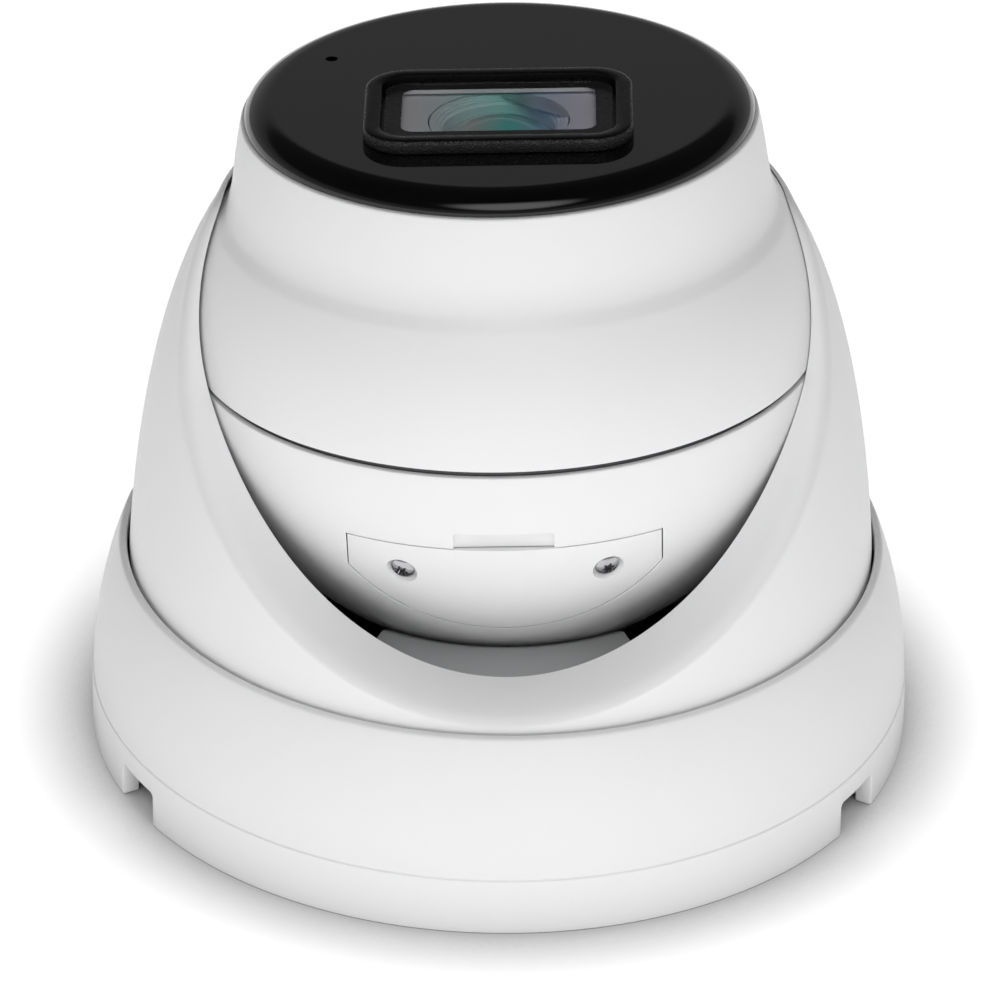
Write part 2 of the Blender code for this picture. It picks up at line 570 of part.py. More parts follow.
def make_electronics(ball):
    slab("heat_spreader", [circle(31.5, count=32), rounded_rectangle((12, 8), 1.5, (0, 19), steps=2)],
         5.6, 8.6, ALUMINIUM, ball)
    slab("main_board", [circle(31.0, count=32)], -1.0, 0.6, BOARD, ball)
    slab("processor", [rounded_rectangle((17, 17), 0.5, (0, -3), steps=1)], 0.9, 3.2, BLACK_PLASTIC, ball)
    slab("thermal_pad", [rounded_rectangle((16, 16), 0.5, (0, -3), steps=1)], 3.5, 5.3, GREY_PLASTIC, ball)
    slab("light_board", [circle(32.8, count=32), circle(22.5, count=24)], 28.6, 30.0, BOARD, ball)
    for index in range(4):
        angle = math.radians(20.0 + 90.0 * index)
        dome = [(0.0, 33.4), (1.5, 33.0), (2.4, 31.9), (2.6, 30.3), (0.0, 30.3)]
        emitter = turned(f"light_emitter_{index + 1}", dome, EMITTER, ball, segments=12, closed=False)
        emitter.location = Vector((math.cos(angle), math.sin(angle), 0)) * 27.5 * MM
    boot = turned("microphone_boot", [(3.2, 35.6), (3.2, 31.5), (0.8, 31.5), (0.8, 32.9), (2.4, 32.9),
                                      (2.4, 34.7), (0.8, 34.7), (0.8, 35.6)], RUBBER, ball, segments=12)
    capsule = turned("microphone", [(0.0, 34.4), (2.1, 34.4), (2.1, 33.2), (0.0, 33.2)], ALUMINIUM, ball,
                     segments=12, closed=False)
    for piece in (boot, capsule):
        piece.location = Vector((*PIN_HOLE, 0.0)) * MM
    turned("hub_retainer", [(26.4, -28.7), (26.4, -30.4), (25.0, -31.1), (17.5, -31.1), (17.5, -28.7)],
           ALUMINIUM, ball, segments=32)

    box("card_board", (23.0, 1.2, 12.6), (0, -32.4, -16.0), BOARD, ball)
    box("card_slot", (10.4, 1.6, 6.8), (-4.2, -34.2, -18.2), STEEL, ball)
    box("reset_switch", (4.0, 1.6, 4.0), (6.6, -34.2, -17.6), BLACK_PLASTIC, ball)


def make_reset_button(ball):
    """A push button that travels along the ball's Y axis into its switch."""
    travel = pivot("reset_axis", (6.6, -35.8, -17.6), (90.0, 0.0, 0.0), ball)
    turned("reset_button", [(0.0, 1.6), (1.1, 1.6), (1.3, 1.3), (1.3, 0.0), (0.0, 0.0)], RUBBER, travel,
           segments=12, closed=False)


turret_pivot = pivot("turret_axis", (0, 0, 0), (0, 0, COVER_TURN))
ball_pivot = pivot("ball_centre", BALL_CENTRE, (*BALL_LEAN, 0.0))
optics_pivot = pivot("optical_axis", (0, LENS_Y, 0), parent=ball_pivot)
make_base()
make_cover(turret_pivot)
make_hub(ball_pivot)
rear_shell = make_shells(ball_pivot)
make_hatch(ball_pivot, rear_shell)
make_panel(ball_pivot)
make_optics(optics_pivot)
make_electronics(ball_pivot)
make_reset_button(ball_pivot)
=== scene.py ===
"""Looks of the turret security camera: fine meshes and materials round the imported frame.

Lengths below are millimetres, turned to metres by MM.  The base and the cover are built about the
row's Z axis; the ball's pieces are built about the ball's centre, along the lens axis, and BALL
carries them to their place.
"""
import json
import math

import bmesh
import bpy
from mathutils import Matrix, Vector


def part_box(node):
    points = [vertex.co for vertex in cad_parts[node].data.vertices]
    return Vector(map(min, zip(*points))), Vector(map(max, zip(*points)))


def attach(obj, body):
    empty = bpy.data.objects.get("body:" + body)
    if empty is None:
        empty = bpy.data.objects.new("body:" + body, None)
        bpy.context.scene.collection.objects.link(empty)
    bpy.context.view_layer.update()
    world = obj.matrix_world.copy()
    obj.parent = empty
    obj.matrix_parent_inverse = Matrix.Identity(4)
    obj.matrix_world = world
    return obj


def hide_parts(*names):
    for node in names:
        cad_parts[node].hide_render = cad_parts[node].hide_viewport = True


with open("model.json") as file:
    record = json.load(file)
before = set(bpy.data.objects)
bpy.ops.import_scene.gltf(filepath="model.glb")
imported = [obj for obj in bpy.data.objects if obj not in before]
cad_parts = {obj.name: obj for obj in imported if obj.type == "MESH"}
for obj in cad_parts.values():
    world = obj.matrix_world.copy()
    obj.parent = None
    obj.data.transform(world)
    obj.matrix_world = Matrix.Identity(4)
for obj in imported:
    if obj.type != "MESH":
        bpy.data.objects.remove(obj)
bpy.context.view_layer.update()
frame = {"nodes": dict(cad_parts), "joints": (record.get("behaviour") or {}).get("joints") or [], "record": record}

MM = 0.001
JOINTS = {joint["name"]: joint for joint in frame["joints"]}
BALL_CENTRE = Vector(JOINTS["roll"]["pos_m"]) / MM
LENS_AXIS = Vector(JOINTS["roll"]["axis"]).normalized()
INWARD = Vector(JOINTS["reset_press"]["axis"]).normalized()      # the ball's Y, away from the hatch
SIDE = INWARD.cross(LENS_AXIS).normalized()
TILT_AXIS = Vector(JOINTS["tilt"]["axis"]).normalized()
BALL = Matrix.Translation(BALL_CENTRE) @ Matrix((SIDE, INWARD, LENS_AXIS)).transposed().to_4x4()
COVER = Matrix.Rotation(math.atan2(TILT_AXIS.y, TILT_AXIS.x), 4, "Z")
WORLD = Matrix.Identity(4)

ROUND_STEPS = 192                        # facets round the large turned pieces

# Sizes shared with the CAD model
BASE_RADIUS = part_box("trim_ring")[1].x / MM
BASE_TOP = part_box("trim_ring")[1].z / MM
BASE_ARC_RADIUS, BASE_ARC_HEIGHT = 65.0, 7.0
BAND_HEIGHT = 8.9
SEAM_RADIUS = 55.4
NOTCH_WIDTH, NOTCH_HEIGHT = 9.4, 5.5
NOTCH_ANGLES = (-60.0, 60.0, 180.0)
COVER_SKIRT_RADIUS = 54.9
COVER_WALL = 2.8
HOOD_RADIUS = 46.05
PAD_HALF_ANGLE = 31.0
BALL_RADIUS, SHELL_INNER = 45.78, 41.8
SEAM_LOW, SEAM_HIGH = 0.0, 0.95
NECK_TOP = 35.7
PANEL_RADIUS, PANEL_TOP, PANEL_FOOT, PANEL_ROUND = 36.6, 38.7, 36.0, 4.0
WINDOW_Y, LENS_Y = -8.35, -8.1
BEZEL_SIZE, BEZEL_CORNER, BEZEL_TOP = (38.2, 26.2), 6.0, 40.7
GLASS_SIZE, GLASS_CORNER, GLASS_TOP = (33.2, 21.2), 4.2, 40.0
LENS_TOP = 37.9
SIGHT_SIZE, SIGHT_CORNER, SIGHT_Y = (27.6, 15.3), 2.0, -7.1
PIN_HOLE = (-24.4, 13.4)
HATCH_HALF_WIDTH, HATCH_TOP = 22.4, -12.0
HATCH_SIDE_END, HATCH_BOTTOM = -18.2, -29.1
HATCH_SCREW_AZIMUTH, HATCH_SCREW_HEIGHT = 20.2, -17.35
TAB_HALF_WIDTH, TAB_TOP = 7.1, -9.3
SHELL_SCREW_AZIMUTHS, SHELL_SCREW_CIRCLE = (75.0, 180.0, 285.0), 35.5


# ---------------------------------------------------------------- material helpers

class Shade:
    """A node material built step by step; coordinates are the object's own, in metres."""

    def __init__(self, name):
        self.material = bpy.data.materials.new(name)
        self.material.use_nodes = True
        self.tree = self.material.node_tree
        self.shader = self.tree.nodes["Principled BSDF"]
        self.place = self.node("ShaderNodeTexCoord").outputs["Object"]

    def node(self, kind, **settings):
        made = self.tree.nodes.new(kind)
        for key, value in settings.items():
            setattr(made, key, value)
        return made

    def link(self, source, target):
        self.tree.links.new(source, target)

    def set(self, **values):
        for key, value in values.items():
            socket = self.shader.inputs[key.replace("_", " ")]
            socket.default_value = (*value, 1.0) if isinstance(value, tuple) else value
        return self

    def noise(self, scale, detail=2.0, roughness=0.5, stretch=None):
        texture = self.node("ShaderNodeTexNoise")
        texture.inputs["Scale"].default_value = scale
        texture.inputs["Detail"].default_value = detail
        texture.inputs["Roughness"].default_value = roughness
        place = self.place
        if stretch:
            mapping = self.node("ShaderNodeMapping")
            mapping.inputs["Scale"].default_value = stretch
            self.link(place, mapping.inputs["Vector"])
            place = mapping.outputs["Vector"]
        self.link(place, texture.inputs["Vector"])
        return texture.outputs["Fac"]

    def cells(self, scale, feature="F1"):
        texture = self.node("ShaderNodeTexVoronoi", feature=feature)
        texture.inputs["Scale"].default_value = scale
        self.link(self.place, texture.inputs["Vector"])
        return texture.outputs["Distance"]

    def spread(self, factor, low, high, start=0.0, end=1.0):
        """Maps a factor from start..end to low..high."""
        ramp = self.node("ShaderNodeMapRange")
        for name, value in (("From Min", start), ("From Max", end), ("To Min", low), ("To Max", high)):
            ramp.inputs[name].default_value = value
        self.link(factor, ramp.inputs["Value"])
        return ramp.outputs["Result"]

    def colours(self, factor, *stops):
        """Colours along a factor: each stop is (position, (r, g, b))."""
        ramp = self.node("ShaderNodeValToRGB")
        elements = ramp.color_ramp.elements
        while len(elements) < len(stops):
            elements.new(0.5)
        for element, (position, colour) in zip(elements, stops):
            element.position = position
            element.color = (*colour, 1.0)
        self.link(factor, ramp.inputs["Fac"])
        return ramp.outputs["Color"]

    def paint(self, factor, *stops):
        self.link(self.colours(factor, *stops), self.shader.inputs["Base Color"])
        return self

    def rough(self, factor, low, high, start=0.3, end=0.7):
        self.link(self.spread(factor, low, high, start, end), self.shader.inputs["Roughness"])
        return self

    def bump(self, height, strength, distance=0.00005):
        bump = self.node("ShaderNodeBump")
        bump.inputs["Strength"].default_value = strength
        bump.inputs["Distance"].default_value = distance
        self.link(height, bump.inputs["Height"])
        previous = self.shader.inputs["Normal"].links
        if previous:
            self.link(previous[0].from_socket, bump.inputs["Normal"])
        self.link(bump.outputs["Normal"], self.shader.inputs["Normal"])
        return self


def moulded(name, colour, roughness, grain=2500.0, strength=0.25, variation=0.06):
    """A moulded or painted surface: fine grain, faint colour variation and uneven gloss."""
    shade = Shade(name)
    drift = shade.noise(45.0, 3.0)
    low = tuple(c * (1 - variation) for c in colour)
    high = tuple(min(c * (1 + variation), 1.0) for c in colour)
    shade.paint(drift, (0.3, low), (0.7, high))
    shade.rough(shade.noise(600.0), roughness - 0.05, roughness + 0.05)
    return shade.bump(shade.noise(grain, 2.0), strength, 0.00003)


def white_paint():
    shade = moulded("white_powder_paint", (0.845, 0.845, 0.85), 0.40, 3200.0, 0.16, 0.006)
    return shade.bump(shade.noise(900.0, 1.0), 0.05, 0.00004).material


def black_gloss():
    shade = Shade("black_gloss")
    smudge = shade.noise(60.0, 4.0)
    shade.paint(smudge, (0.3, (0.0010, 0.0010, 0.0012)), (0.7, (0.0022, 0.0022, 0.0024)))
    shade.rough(smudge, 0.055, 0.08)
    shade.set(Specular_IOR_Level=0.5)
    return shade.bump(shade.noise(300.0, 1.0), 0.02).material


def textured_black():
    """Coarse spark-eroded texture on the side of the window's frame."""
    shade = Shade("textured_black")
    flakes = shade.cells(4000.0)
    grain = shade.noise(5200.0, 2.0)
    shade.paint(flakes, (0.25, (0.006, 0.006, 0.007)), (0.9, (0.022, 0.022, 0.024)))
    shade.rough(grain, 0.18, 0.42)
    shade.bump(flakes, 0.85, 0.00012)
    return shade.bump(grain, 0.5, 0.00008).material


def steel(name="bright_steel", colour=(0.72, 0.72, 0.73), roughness=0.24):
    shade = Shade(name).set(Metallic=1.0)
    drift = shade.noise(700.0, 3.0)
    shade.paint(drift, (0.3, tuple(c * 0.88 for c in colour)), (0.7, colour))
    shade.rough(shade.noise(1800.0), roughness - 0.06, roughness + 0.08)
    return shade.bump(shade.noise(5200.0, 1.0), 0.12, 0.00002).material


def circuit_board():
    shade = Shade("circuit_board")
    pads = shade.cells(520.0)
    shade.paint(pads, (0.10, (0.55, 0.42, 0.16)), (0.16, (0.012, 0.085, 0.035)), (0.9, (0.018, 0.13, 0.05)))
    shade.rough(shade.noise(900.0), 0.32, 0.5)
    return shade.bump(pads, 0.2, 0.00004).material


def grey_with_painted_reflection():
    """Pale grey inside of the window, its own colour, with the coated glass's reflection painted across it as a
    teal and violet cast.
    """
    shade = Shade("grey_with_painted_reflection").set(Specular_IOR_Level=0.3)
    split = shade.node("ShaderNodeSeparateXYZ")
    shade.link(shade.place, split.inputs["Vector"])
    across = shade.spread(split.outputs["X"], 0.0, 1.0, -0.014, 0.014)
    # painted reflection: teal and violet laid over the grey from one side of the window to the other
    shade.paint(across, (0.0, (0.72, 0.70, 0.74)), (0.3, (0.50, 0.72, 0.71)), (0.5, (0.36, 0.74, 0.70)),
                (0.68, (0.50, 0.62, 0.78)), (0.85, (0.70, 0.68, 0.80)), (1.0, (0.76, 0.76, 0.80)))
    shade.rough(shade.noise(500.0), 0.4, 0.5)
    return shade.bump(shade.noise(2400.0), 0.1, 0.00003).material


def clear_glass():
    shade = Shade("window_glass")
    haze = shade.noise(90.0, 3.0)
    shade.paint(haze, (0.3, (0.004, 0.005, 0.005)), (0.7, (0.007, 0.008, 0.008)))
    shade.rough(haze, 0.02, 0.04)
    return shade.set(Alpha=0.1, Specular_IOR_Level=0.9, IOR=1.8).material


def pale_floor():
    """A glowing pale floor with a painted contact shadow: its colour and glow darken close round the object."""
    shade = Shade("pale_floor").set(Roughness=0.9, Specular_IOR_Level=0.1, Emission_Strength=0.78)
    # painted contact shadow: ambient occlusion darkens the floor's colour and glow near the object
    near = shade.node("ShaderNodeAmbientOcclusion")
    near.samples = 16
    near.inputs["Distance"].default_value = 0.024
    paper = shade.spread(shade.noise(300.0), 0.99, 1.0)
    level = shade.node("ShaderNodeMath", operation="MULTIPLY")
    shade.link(near.outputs["AO"], level.inputs[0])
    shade.link(paper, level.inputs[1])
    painted_shadow_tone = shade.colours(level.outputs["Value"], (0.0, (0.0, 0.0, 0.0)), (0.6, (0.38, 0.38, 0.38)),
                         (0.85, (0.84, 0.84, 0.84)), (1.0, (0.97, 0.97, 0.97)))
    shade.link(painted_shadow_tone, shade.shader.inputs["Base Color"])
    shade.link(painted_shadow_tone, shade.shader.inputs["Emission Color"])
    return shade.material


PAINT = white_paint()
GLOSS = black_gloss()
TEXTURE = textured_black()
SATIN_BLACK = moulded("satin_black", (0.004, 0.004, 0.0045), 0.3, 2600.0, 0.08).set(
    Specular_IOR_Level=0.14).material
DARK = moulded("dark_plastic", (0.012, 0.012, 0.013), 0.62, 1900.0, 0.4).material
GREY = moulded("grey_plastic", (0.40, 0.405, 0.41), 0.5, 2200.0, 0.35).material
LENS_GREY = moulded("lens_grey", (0.78, 0.78, 0.79), 0.45, 2400.0, 0.15).material
GREY_PAINTED_REFLECTION = grey_with_painted_reflection()
NYLON = moulded("natural_nylon", (0.74, 0.73, 0.68), 0.5, 1500.0, 0.3).material
RUBBER = moulded("seal_rubber", (0.022, 0.022, 0.023), 0.75, 1600.0, 0.5).material
SEAL = moulded("grey_seal", (0.13, 0.13, 0.133), 0.7, 1600.0, 0.5).material
PLATE = moulded("plate_paint", (0.62, 0.63, 0.64), 0.5, 1500.0, 0.5).material
STEEL = steel()
SCREW_STEEL = steel("screw_steel", (0.50, 0.50, 0.51), 0.16)
BOARD = circuit_board()
GLASS = clear_glass()
ALUMINIUM = steel("cast_aluminium", (0.70, 0.71, 0.72), 0.42)
LED = moulded("emitter_resin", (0.60, 0.60, 0.56), 0.2, 1200.0, 0.1).material


# ---------------------------------------------------------------- mesh helpers

def loft(name, rows, place=WORLD, caps=False):
    """A mesh through equal rows of points, each row a closed loop; the rows close on themselves
    unless caps closes the ends."""
    mesh = bpy.data.meshes.new(name)
    bm = bmesh.new()
    loops = [[bm.verts.new(point) for point in row] for row in rows]
    pairs = list(zip(loops, loops[1:]))
    if not caps:
        pairs.append((loops[-1], loops[0]))
    for row, following in pairs:
        for i in range(len(row)):
            j = (i + 1) % len(row)
            bm.faces.new((row[i], row[j], following[j], following[i]))
    if caps:
        bm.faces.new(loops[0])
        bm.faces.new(loops[-1])
    bmesh.ops.remove_doubles(bm, verts=bm.verts, dist=0.0005)
    bmesh.ops.dissolve_degenerate(bm, edges=bm.edges, dist=0.0001)
    bmesh.ops.recalc_face_normals(bm, faces=bm.faces)
    bm.to_mesh(mesh)
    bm.free()
    mesh.transform(Matrix.Diagonal((MM, MM, MM, 1.0)) @ place)
    obj = bpy.data.objects.new(name, mesh)
    bpy.context.scene.collection.objects.link(obj)
    return obj


def turned(name, section, place=WORLD, steps=ROUND_STEPS):
    """A turned piece from a closed section of (radius, z)."""
    rows = []
    for index in range(steps):
        angle = math.tau * index / steps
        rows.append([(r * math.sin(angle), -r * math.cos(angle), z) for r, z in section])
    return loft(name, rows, place)


def fillet(points, radii, steps=5):
    """A closed section with its corners rounded: radii holds one radius for each corner."""
    result = []
    count = len(points)
    for index, radius in enumerate(radii):
        corner = Vector(points[index])
        before = Vector(points[index - 1]) - corner
        after = Vector(points[(index + 1) % count]) - corner
        reach = min(radius, before.length * 0.48, after.length * 0.48)
        if reach < 0.01:
            result.append(tuple(corner))
            continue
        start, end = corner + before.normalized() * reach, corner + after.normalized() * reach
        for step in range(steps + 1):
            t = step / steps
            point = start * (1 - t) ** 2 + corner * 2 * t * (1 - t) + end * t ** 2
            result.append(tuple(point))
    return result


def rounded_rectangle(size, corner, centre=(0.0, 0.0), steps=10):
    half_x, half_y = size[0] / 2 - corner, size[1] / 2 - corner
    points = []
    for quarter, (sx, sy) in enumerate(((1, 1), (-1, 1), (-1, -1), (1, -1))):
        for step in range(steps + 1):
            angle = math.radians(90.0) * (quarter + step / steps)
            points.append((centre[0] + sx * half_x + corner * math.cos(angle),
                           centre[1] + sy * half_y + corner * math.sin(angle)))
    return points


def framed(name, section, size, corner, centre, place=BALL):
    """A ring that follows a rounded rectangle; the section is (outward offset, height)."""
    rows = []
    for offset, height in section:
        outline = rounded_rectangle((size[0] + 2 * offset, size[1] + 2 * offset),
                                    max(corner + offset, 0.2), centre)
        rows.append([(x, y, height) for x, y in outline])
    return loft(name, rows, place)


def slab(name, outline, low, high, place=BALL, edge=0.15):
    """A flat plate with slightly eased edges, through shrunken copies of its outline."""
    centre = Vector((sum(p[0] for p in outline) / len(outline), sum(p[1] for p in outline) / len(outline)))
    rows = []
    for shrink, height in ((edge, low), (0.0, low + edge), (0.0, high - edge), (edge, high)):
        row = []
        for point in outline:
            inward = centre - Vector(point)
            moved = Vector(point) + inward.normalized() * shrink
            row.append((moved.x, moved.y, height))
        rows.append(row)
    return loft(name, rows, place, caps=True)


def rod(name, radius, low, high, place=WORLD, steps=32):
    outline = [(radius * math.cos(math.tau * i / steps), radius * math.sin(math.tau * i / steps))
               for i in range(steps)]
    return loft(name, [[(x, y, z) for x, y in outline] for z in (low, high)], place, caps=True)


def apply_modifiers(obj):
    bpy.context.view_layer.update()
    evaluated = obj.evaluated_get(bpy.context.evaluated_depsgraph_get())
    mesh = bpy.data.meshes.new_from_object(evaluated)
    obj.modifiers.clear()
    obj.data = mesh
    return obj


def combine(obj, tools, operation="DIFFERENCE"):
    """Cuts the tools from a piece, joins them to it or keeps what they share; the tools go."""
    for tool in tools:
        modifier = obj.modifiers.new("combine", "BOOLEAN")
        modifier.operation = operation
        modifier.solver = "EXACT"
        modifier.object = tool
    apply_modifiers(obj)
    for tool in tools:
        bpy.data.objects.remove(tool, do_unlink=True)
    return obj


def ease(obj, width, angle=35.0, segments=2):
    """Rounds the edges that turn by more than an angle."""
    modifier = obj.modifiers.new("ease", "BEVEL")
    modifier.width = width * MM
    modifier.segments = segments
    modifier.limit_method = "ANGLE"
    modifier.angle_limit = math.radians(angle)
    modifier.use_clamp_overlap = True
    return apply_modifiers(obj)


def done(obj, body, nodes=(), finish=None, sharp=38.0):
    """Shades a piece, gives it its material and hands it to the frame."""
    obj.data.shade_smooth()
    obj.data.set_sharp_from_angle(angle=math.radians(sharp))
    if finish:
        obj.data.materials.clear()
        obj.data.materials.append(finish)
    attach(obj, body)
    if nodes:
        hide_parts(*nodes)
    return obj


# ---------------------------------------------------------------- camera, floor and light

def make_camera():
    """A long lens above the front, looking down at the middle of the object."""
    pitch, roll = math.radians(30.78), math.radians(0.83)
    right, forward = Vector((1, 0, 0)), Vector((0, math.cos(pitch), -math.sin(pitch)))
    up = Vector((0, math.sin(pitch), math.cos(pitch)))
    side = right * math.cos(roll) + up * math.sin(roll)
    top = up * math.cos(roll) - right * math.sin(roll)
    data = bpy.data.cameras.new("camera")
    data.lens = 230.78
    data.sensor_width = 36.0
    data.clip_start, data.clip_end = 0.05, 50.0
    camera = bpy.data.objects.new("camera", data)
    turn = Matrix((side, top, -forward)).transposed().to_4x4()
    camera.matrix_world = Matrix.Translation(Vector((-0.2, -814.6, 520.9)) * MM) @ turn
    bpy.context.scene.collection.objects.link(camera)
    bpy.context.scene.camera = camera


def area_light(name, place, aim, size, power, colour=(1.0, 1.0, 1.0)):
    data = bpy.data.lights.new(name, "AREA")
    data.shape = "RECTANGLE"
    data.size, data.size_y = size
    data.energy = power
    data.color = colour
    light = bpy.data.objects.new(name, data)
    light.location = Vector(place)
    light.rotation_euler = (Vector(aim) - Vector(place)).to_track_quat("-Z", "Y").to_euler()
    bpy.context.scene.collection.objects.link(light)
    return light


def make_stage():
    scene = bpy.context.scene
    scene.view_settings.view_transform = "Standard"
    world = bpy.data.worlds.new("studio")
    scene.world = world
    world.use_nodes = True
    tree = world.node_tree
    direction = tree.nodes.new("ShaderNodeTexCoord")
    split = tree.nodes.new("ShaderNodeSeparateXYZ")
    ramp = tree.nodes.new("ShaderNodeValToRGB")
    stops = ((0.0, 0.4), (0.2, 0.3), (0.36, 0.19), (0.385, 0.15), (0.41, 0.08), (0.44, 0.045), (1.0, 0.03))
    while len(ramp.color_ramp.elements) < len(stops):
        ramp.color_ramp.elements.new(0.5)
    for element, (height, grey) in zip(ramp.color_ramp.elements, stops):
        element.position = height
        element.color = (grey, grey, grey, 1.0)
    tree.links.new(direction.outputs["Generated"], split.inputs["Vector"])
    tree.links.new(split.outputs["Z"], ramp.inputs["Fac"])
    towards = tree.nodes.new("ShaderNodeVectorMath")
    towards.operation = "DOT_PRODUCT"
    towards.inputs[1].default_value = Vector((0.06, -0.62, 0.78)).normalized()
    glow = tree.nodes.new("ShaderNodeMapRange")
    glow.interpolation_type = "SMOOTHERSTEP"
    for name, value in (("From Min", 0.87), ("From Max", 1.0), ("To Min", 0.0), ("To Max", 2.2)):
        glow.inputs[name].default_value = value
    both = tree.nodes.new("ShaderNodeVectorMath")
    tree.links.new(direction.outputs["Generated"], towards.inputs[0])
    tree.links.new(towards.outputs["Value"], glow.inputs["Value"])
    tree.links.new(ramp.outputs["Color"], both.inputs[0])
    tree.links.new(glow.outputs["Result"], both.inputs[1])
    tree.links.new(both.outputs["Vector"], tree.nodes["Background"].inputs["Color"])
    corners = ((-6000, -6000), (6000, -6000), (6000, 6000), (-6000, 6000))
    floor = loft("floor", [[(x, y, z) for x, y in corners] for z in (-0.6, 0.0)], caps=True)
    floor.location.z = -0.00002
    floor.data.materials.append(pale_floor())
    key = area_light("key", (-0.06, -0.95, 1.5), (0, 0, 0.05), (1.7, 1.5), 3.3)
    low = area_light("low_front", (0.0, -1.3, 0.14), (0, 0, 0.05), (1.6, 0.3), 4.0)
    for light in (key, low):
        light.visible_glossy = False


# ---------------------------------------------------------------- base

def base_radius(z):
    rise = z - BASE_ARC_HEIGHT
    return BASE_RADIUS - 0.25 - (BASE_ARC_RADIUS - math.sqrt(BASE_ARC_RADIUS ** 2 - rise ** 2))


def make_trim_ring():
    """The outer ring: a lower band, a fine step, an arched side, and a rounded top round the cover."""
    side = [(base_radius(z), z) for z in (28.6, 26.5, 24.0, 21.0, 18.0, 15.0, 12.0)]
    corner = (BASE_RADIUS - 0.28, BAND_HEIGHT + 0.1)
    points = [(55.6, BASE_TOP - 0.4), (56.5, BASE_TOP - 0.55), *side, corner,
              (BASE_RADIUS - 0.08, BAND_HEIGHT - 0.1), (BASE_RADIUS, 0.0), (58.4, 0.0), (58.2, 12.0),
              (57.2, 19.0), (55.9, 24.5), (SEAM_RADIUS, 27.5), (SEAM_RADIUS, 29.9)]
    radii = [0.25, 1.2] + [0.0] * len(side) + [0.06, 0.06, 0.35, 0.3] + [0.0] * 4 + [0.12]
    ring = turned("trim_ring_shell", fillet(points, radii))
    tools = []
    for index, angle in enumerate(NOTCH_ANGLES):
        outline = rounded_rectangle((NOTCH_WIDTH, 2 * NOTCH_HEIGHT), 0.8, steps=4)
        rows = [[(x, y, z) for x, z in outline] for y in (-BASE_RADIUS - 4, -BASE_RADIUS + 4)]
        tools.append(loft(f"notch_{index}", rows, Matrix.Rotation(math.radians(angle), 4, "Z"), caps=True))
    combine(ring, tools)
    ease(ring, 0.22, 50.0)
    return done(ring, "base", ["trim_ring"], PAINT)


# ---------------------------------------------------------------- cover

def outer_radius(z):
    if z < 29.4:
        return COVER_SKIRT_RADIUS
    return 55.37 * (1 - ((z - 18.8) / 77.2) ** 1.786) ** (1 / 4.62)


def hood_radius(z):
    rise = z - BALL_CENTRE.z
    return math.sqrt(max(HOOD_RADIUS ** 2 - rise ** 2, 0.0)) if rise > 0 else HOOD_RADIUS


def soft_minimum(a, b, softness=1.2):
    return -softness * math.log(math.exp(-a / softness) + math.exp(-b / softness))


def lip_point(azimuth, intercept, slope, ceiling, radius_at):
    z = 60.0
    for _ in range(40):
        y = -radius_at(z) * math.cos(azimuth)
        z = 0.5 * z + 0.5 * soft_minimum(intercept + slope * y, ceiling)
    return radius_at(z), z


def cover_section(azimuth):
    """The cover's closed section: rolled lip, outside, skirt, clamping flange, inside, nose."""
    edge_r, edge_z = lip_point(azimuth, 83.4, 1.075, 84.6, lambda z: max(hood_radius(z), 1.0))
    side_r, side_z = lip_point(azimuth, 78.8, 0.87, 82.6, outer_radius)
    start, end = Vector((edge_r, edge_z)), Vector((side_r, side_z))
    control = Vector((side_r - 0.25 * (side_r - edge_r), max(edge_z, side_z) + 0.05))
    section = []
    for step in range(15):
        t = step / 14
        point = start * (1 - t) ** 2 + control * 2 * t * (1 - t) + end * t ** 2
        section.append((point.x, point.y))
    for step in range(1, 19):
        z = side_z + (29.4 - side_z) * step / 18
        section.append((outer_radius(z), z))
    section += [(COVER_SKIRT_RADIUS, 26.0), (COVER_SKIRT_RADIUS, 11.3), (54.6, 11.0), (52.8, 11.0),
                (52.5, 11.3), (52.5, 20.0), (48.2, 20.0), (48.0, 20.2), (48.0, 22.0), (48.2, 22.2),
                (51.9, 22.2)]
    wall_top = edge_z - 4.6
    for step in range(12):
        z = 27.4 + (wall_top - 27.4) * step / 11
        section.append((max(outer_radius(z) - COVER_WALL, hood_radius(z)), z))
    nose_z = edge_z - 1.8
    section.append((max(hood_radius(nose_z), edge_r) + 0.35, nose_z - 0.8))
    section.append((max(hood_radius(nose_z), edge_r) + 0.06, nose_z))
    section.append((max(hood_radius(edge_z - 0.45), edge_r) + 0.01, edge_z - 0.45))
    return section


def make_cover():
    rows = []
    for index in range(ROUND_STEPS * 2):
        azimuth = math.tau * index / (ROUND_STEPS * 2)
        rows.append([(r * math.sin(azimuth), -r * math.cos(azimuth), z) for r, z in cover_section(azimuth)])
    done(loft("cover_shell", rows, COVER), "turret", ["dome_cover"], PAINT, 50.0)


def make_pads():
    """Grey friction pads on the socket ring: sectors with a spherical seat and eased edges."""
    for index in range(3):
        seat_points = [(r, BALL_CENTRE.z - math.sqrt((BALL_RADIUS + 0.3) ** 2 - r ** 2))
                       for r in (27.0, 28.5, 30.0, 31.5, 32.0)]
        section = [(34.0, 31.2), (46.5, 27.0), (46.5, 16.7), (26.0, 16.7), (26.0, 25.6), *seat_points]
        rows = []
        for step in range(32):
            angle = math.radians(120.0 * index - PAD_HALF_ANGLE + 2.0 * step)
            rows.append([(r * math.sin(angle), -r * math.cos(angle), z) for r, z in section])
        pad = loft(f"pad_{index + 1}", rows, COVER, caps=True)
        ease(pad, 0.3, 30.0)
        done(pad, "turret", [f"friction_pad_{index + 1}"], GREY)


# ---------------------------------------------------------------- ball shells

def arc_points(start, end, count, radius=BALL_RADIUS):
    first, last = math.asin(start / radius), math.asin(end / radius)
    return [(radius * math.cos(first + (last - first) * i / count),
             radius * math.sin(first + (last - first) * i / count)) for i in range(count + 1)]


